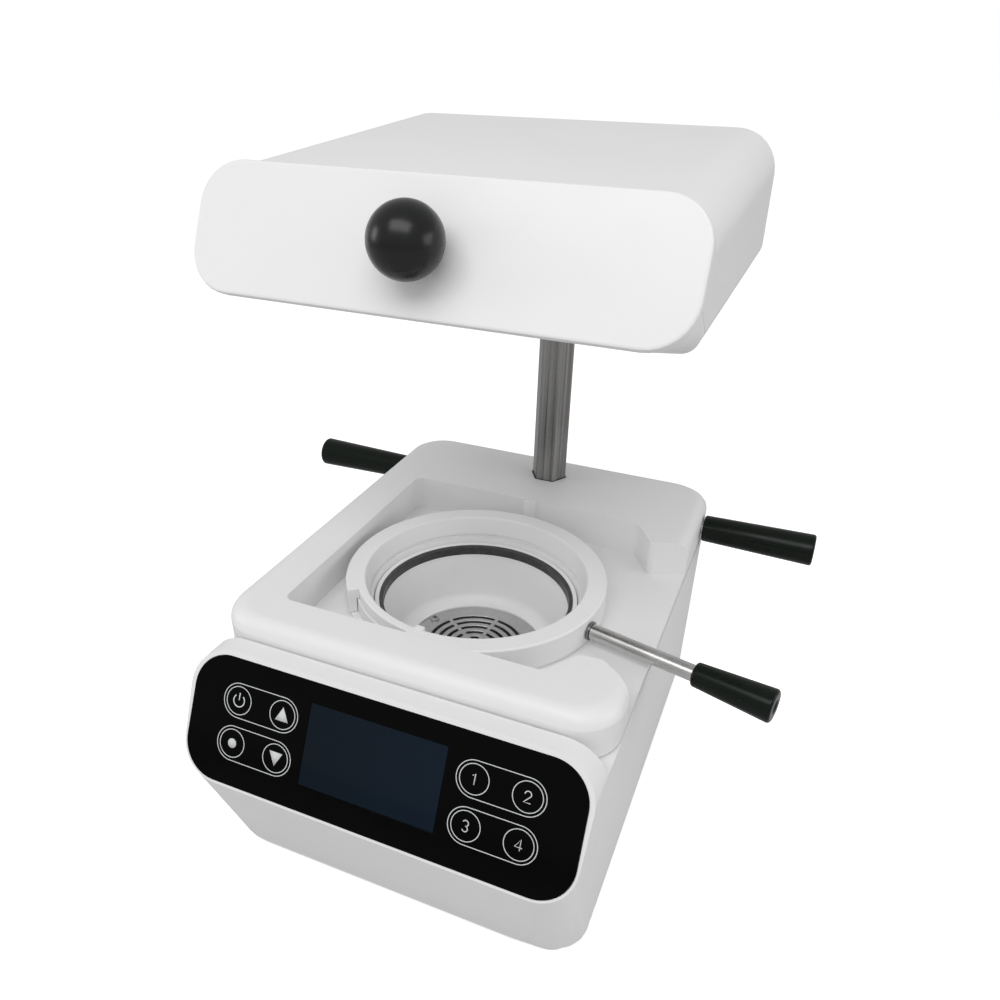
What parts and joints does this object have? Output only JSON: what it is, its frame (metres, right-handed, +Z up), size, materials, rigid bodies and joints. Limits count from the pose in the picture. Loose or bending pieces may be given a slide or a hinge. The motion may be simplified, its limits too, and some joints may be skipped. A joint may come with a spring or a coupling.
{
  "type": "dental vacuum former",
  "caption": "Bench vacuum former: console with touch panel and vacuum bowl, foil tray lifted on a hexagonal column, turning clamp ring with lever, swinging heater head with ball knob.",
  "frame": {"origin": "On the bench, below the middle of the part's box", "axes": "+X to the part's right, +Y to its rear, +Z up"},
  "size_m": [0.346, 0.299, 0.3505],
  "materials": {
    "white_moulding": "fine satin moulded plastic, white",
    "white_fascia": "smooth satin white front plate",
    "white_ring": "white moulded ring, slightly warmer",
    "zinc_plate": "light grey powder-coated sheet",
    "foot_rubber": "dark rubber",
    "seal_rubber": "black silicone ring",
    "black_moulding": "black moulded plastic",
    "panel_gloss": "polished black overlay",
    "display_glass": "dark blue display, unlit",
    "board": "green circuit board",
    "cast_grey": "grey cast metal",
    "aluminium": "bare aluminium",
    "brushed_column": "drawn hexagonal steel bar, brushed along its length",
    "chrome_rod": "bright plated rod",
    "dark_collar": "blackened steel",
    "grip_gloss": "polished black grip",
    "fastener_steel": "plated steel",
    "bronze": "sintered bronze",
    "insulation": "ceramic fibre board",
    "heater_sheath": "heat-tinted metal sheath",
    "ceramic": "glazed ceramic",
    "lead_rubber": "silicone lead"
  },
  "bodies": {
    "base": {"body_shell": "white_moulding", "base_plate": "zinc_plate", "base_screws": "fastener_steel", "feet": "foot_rubber", "rear_panel": "zinc_plate", "rear_screws": "fastener_steel", "mains_inlet": "black_moulding", "inlet_pins": "fastener_steel", "switch_frame": "black_moulding", "control_panel": "panel_gloss", "display": "display_glass", "control_board": "board", "power_board": "board", "transformer": "cast_grey", "bowl": "white_moulding", "bowl_seal": "seal_rubber", "grille_disc": "aluminium", "grille_screws": "fastener_steel", "column": "brushed_column", "column_socket": "cast_grey", "socket_screws": "fastener_steel", "column_wiring": "lead_rubber", "thrust_washer": "bronze", "spigot_nut": "fastener_steel", "suction_elbow": "black_moulding", "fan_housing": "aluminium", "motor_can": "cast_grey", "motor_mounts": "foot_rubber"},
    "impeller": {"fan_impeller": "aluminium"},
    "rocker": {"switch_rocker": "black_moulding"},
    "carriage": {"tray": "white_moulding", "guide_bush": "black_moulding", "bush_screws": "fastener_steel", "seat_ring": "white_ring", "bayonet_pins": "fastener_steel", "left_handle_rod": "chrome_rod", "right_handle_rod": "chrome_rod", "left_grip": "grip_gloss", "right_grip": "grip_gloss"},
    "clamp": {"clamp_ring": "white_ring", "lever_collar": "dark_collar", "lever_rod": "chrome_rod", "lever_grip": "grip_gloss"},
    "head": {"head_top_shell": "white_moulding", "head_bottom_cover": "white_moulding", "head_fascia": "white_fascia", "head_screws": "fastener_steel", "ball_knob": "grip_gloss", "knob_stud": "fastener_steel", "knob_nut": "fastener_steel", "pivot_hub": "cast_grey", "pivot_bush": "bronze", "reflector": "aluminium", "insulation_pad": "insulation", "heater_element": "heater_sheath", "heater_posts": "ceramic", "heater_leads": "lead_rubber"}
  },
  "joints": [
    {"name": "carriage_lift", "type": "slide", "parent": "base", "child": "carriage", "axis": [0, 0, 1], "range_m": [0, 0.14]},
    {"name": "clamp_turn", "type": "hinge", "parent": "carriage", "child": "clamp", "pos_m": [0, -0.01045, 0.1175], "axis": [0, 0, 1], "range_deg": [-14, 42]},
    {"name": "head_swing", "type": "hinge", "parent": "base", "child": "head", "pos_m": [0, 0.11455, 0.3], "axis": [0, 0, 1], "range_deg": [-90, 90]},
    {"name": "fan_spin", "type": "hinge", "parent": "base", "child": "impeller", "pos_m": [0, -0.01045, 0.04], "axis": [0, 0, 1], "continuous": true},
    {"name": "mains_switch", "type": "hinge", "parent": "base", "child": "rocker", "pos_m": [-0.046, 0.1342, 0.069], "axis": [1, 0, 0], "range_deg": [0, 16]}
  ]
}
